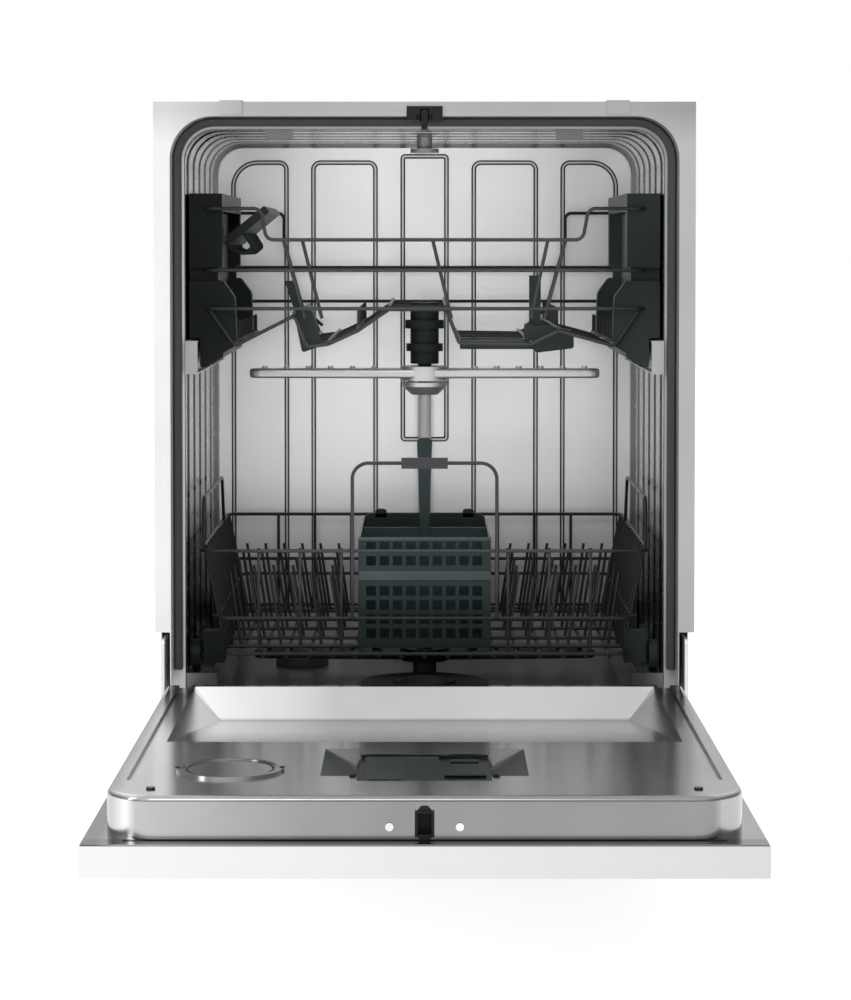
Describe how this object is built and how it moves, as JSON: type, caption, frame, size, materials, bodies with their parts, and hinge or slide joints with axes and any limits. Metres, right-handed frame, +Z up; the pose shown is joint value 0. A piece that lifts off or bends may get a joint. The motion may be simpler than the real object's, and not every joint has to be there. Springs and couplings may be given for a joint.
{
  "type": "built-in dishwasher",
  "caption": "Built-in dishwasher lying open: steel tub with two wire racks, cutlery basket, spray arms and a drop-down door with a detergent dispenser.",
  "frame": {"origin": "on the floor, under the middle of the open machine's box", "axes": "+X to the right seen from the front, +Y into the machine, +Z up"},
  "size_m": [0.598, 1.25, 0.8216],
  "materials": {
    "tub_steel": "satin",
    "galvanised_steel": "semi-gloss",
    "white_enamel": "gloss",
    "white_plastic": "gloss",
    "gasket_rubber": "matt",
    "black_plastic": "matt",
    "coated_wire": "semi-gloss",
    "grey_plastic": "matt",
    "arm_silver": "satin",
    "filter_mesh": "satin",
    "green_grey_plastic": "satin",
    "display_glass": "gloss",
    "circuit_board": "matt"
  },
  "bodies": {
    "cabinet": {"front_frame": "galvanised_steel", "tub_wrapper": "tub_steel", "tub_back_wall": "tub_steel", "tub_floor": "tub_steel", "door_gasket": "gasket_rubber", "base_tray": "black_plastic", "rear_frame": "galvanised_steel", "kick_plate": "white_enamel", "latch_housing": "black_plastic", "sump_housing": "black_plastic", "coarse_filter": "grey_plastic", "fine_filter": "filter_mesh", "circulation_pump": "black_plastic", "drain_pump": "black_plastic", "feed_pipe": "grey_plastic", "inlet_valve": "grey_plastic", "air_break": "grey_plastic", "salt_container": "grey_plastic", "power_inlet": "grey_plastic", "side_panels": "galvanised_steel", "levelling_feet": "grey_plastic", "hinge_brackets": "galvanised_steel", "worktop_brackets": "galvanised_steel", "door_springs": "galvanised_steel", "ceiling_fittings": "black_plastic", "rail_rollers": "grey_plastic"},
    "latch": {"latch_hook": "black_plastic"},
    "lower_arm": {"lower_spray_arm": "grey_plastic"},
    "rails": {"upper_rails": "grey_plastic"},
    "upper_rack": {"upper_rack_basket": "coated_wire", "tine_holders": "black_plastic", "rack_side_brackets": "black_plastic", "spray_manifold": "black_plastic"},
    "upper_arm": {"upper_spray_arm": "arm_silver"},
    "shelf": {"cup_shelf": "black_plastic"},
    "rollers_front": {"rack_rollers_front": "black_plastic"},
    "rollers_rear": {"rack_rollers_rear": "black_plastic"},
    "lower_rack": {"lower_rack_basket": "coated_wire", "rack_handle": "coated_wire", "wheel_carriers": "black_plastic"},
    "wheels_1": {"lower_wheels_1": "black_plastic"},
    "wheels_2": {"lower_wheels_2": "black_plastic"},
    "wheels_3": {"lower_wheels_3": "black_plastic"},
    "basket": {"cutlery_basket": "green_grey_plastic"},
    "door": {"door_outer_panel": "white_enamel", "control_fascia": "white_plastic", "display_window": "display_glass", "control_board": "circuit_board", "door_liner": "tub_steel", "door_strike": "black_plastic", "door_screws": "white_plastic", "door_vent": "grey_plastic", "dispenser_body": "green_grey_plastic", "door_seal": "gasket_rubber", "hinge_arms": "galvanised_steel"},
    "detergent_lid": {"dispenser_lid": "green_grey_plastic"},
    "rinse_lid": {"rinse_aid_lid": "green_grey_plastic"},
    "detergent_button": {"dispenser_button": "green_grey_plastic"},
    "power_key": {"power_button": "white_plastic"},
    "start_key": {"start_button": "white_plastic"}
  },
  "joints": [
    {"name": "door_hinge", "type": "hinge", "parent": "cabinet", "child": "door", "pos_m": [0, 0.053, 0.139], "axis": [1, 0, 0], "range_deg": [-90, 0], "deforming": ["door_springs"]},
    {"name": "latch_pivot", "type": "hinge", "parent": "cabinet", "child": "latch", "pos_m": [0, 0.076, 0.808], "axis": [1, 0, 0], "range_deg": [0, 15], "stiffness_Nm_per_rad": 0.05},
    {"name": "lower_arm_spin", "type": "hinge", "parent": "cabinet", "child": "lower_arm", "pos_m": [0, 0.332, 0.171], "axis": [0, 0, 1], "continuous": true},
    {"name": "rail_slide", "type": "slide", "parent": "cabinet", "child": "rails", "axis": [0, -1, 0], "range_m": [0, 0.25]},
    {"name": "upper_rack_slide", "type": "slide", "parent": "cabinet", "child": "upper_rack", "axis": [0, -1, 0], "range_m": [0, 0.4]},
    {"name": "upper_arm_spin", "type": "hinge", "parent": "upper_rack", "child": "upper_arm", "pos_m": [0, 0.32, 0.509], "axis": [0, 0, 1], "continuous": true},
    {"name": "cup_shelf_fold", "type": "hinge", "parent": "upper_rack", "child": "shelf", "pos_m": [-0.224, 0.28, 0.665], "axis": [0, 1, 0], "range_deg": [0, 35]},
    {"name": "front_roller_spin", "type": "hinge", "parent": "upper_rack", "child": "rollers_front", "pos_m": [0, 0.286, 0.5365], "axis": [1, 0, 0], "continuous": true},
    {"name": "rear_roller_spin", "type": "hinge", "parent": "upper_rack", "child": "rollers_rear", "pos_m": [0, 0.41, 0.5365], "axis": [1, 0, 0], "continuous": true},
    {"name": "lower_rack_slide", "type": "slide", "parent": "cabinet", "child": "lower_rack", "axis": [0, -1, 0], "range_m": [0, 0.5]},
    {"name": "wheel_1_spin", "type": "hinge", "parent": "lower_rack", "child": "wheels_1", "pos_m": [0, 0.142, 0.1983], "axis": [1, 0, 0], "continuous": true},
    {"name": "wheel_2_spin", "type": "hinge", "parent": "lower_rack", "child": "wheels_2", "pos_m": [0, 0.27, 0.1983], "axis": [1, 0, 0], "continuous": true},
    {"name": "wheel_3_spin", "type": "hinge", "parent": "lower_rack", "child": "wheels_3", "pos_m": [0, 0.49, 0.1983], "axis": [1, 0, 0], "continuous": true},
    {"name": "cutlery_basket_lift", "type": "slide", "parent": "lower_rack", "child": "basket", "axis": [0, 0, 1], "range_m": [0, 0.05]},
    {"name": "detergent_lid_hinge", "type": "hinge", "parent": "door", "child": "detergent_lid", "pos_m": [-0.054, -0.4705, 0.1817], "axis": [0, -1, 0], "range_deg": [0, 110]},
    {"name": "rinse_lid_hinge", "type": "hinge", "parent": "door", "child": "rinse_lid", "pos_m": [0.037, -0.496, 0.1816], "axis": [1, 0, 0], "range_deg": [0, 100]},
    {"name": "detergent_button_press", "type": "slide", "parent": "door", "child": "detergent_button", "axis": [0, 0, -1], "range_m": [0, 0.002], "stiffness_N_per_m": 400},
    {"name": "power_button_press", "type": "slide", "parent": "door", "child": "power_key", "axis": [0, 0, 1], "range_m": [0, 0.0015], "stiffness_N_per_m": 500},
    {"name": "start_button_press", "type": "slide", "parent": "door", "child": "start_key", "axis": [0, 0, 1], "range_m": [0, 0.0015], "stiffness_N_per_m": 500}
  ],
  "couplings": [
    {"joint": "rail_slide", "follows": "upper_rack_slide", "ratio": 0.625},
    {"joint": "front_roller_spin", "follows": "upper_rack_slide", "rad_per_m": 22.59},
    {"joint": "rear_roller_spin", "follows": "upper_rack_slide", "rad_per_m": 22.59},
    {"joint": "wheel_1_spin", "follows": "lower_rack_slide", "rad_per_m": 58.82},
    {"joint": "wheel_2_spin", "follows": "lower_rack_slide", "rad_per_m": 58.82},
    {"joint": "wheel_3_spin", "follows": "lower_rack_slide", "rad_per_m": 58.82}
  ]
}
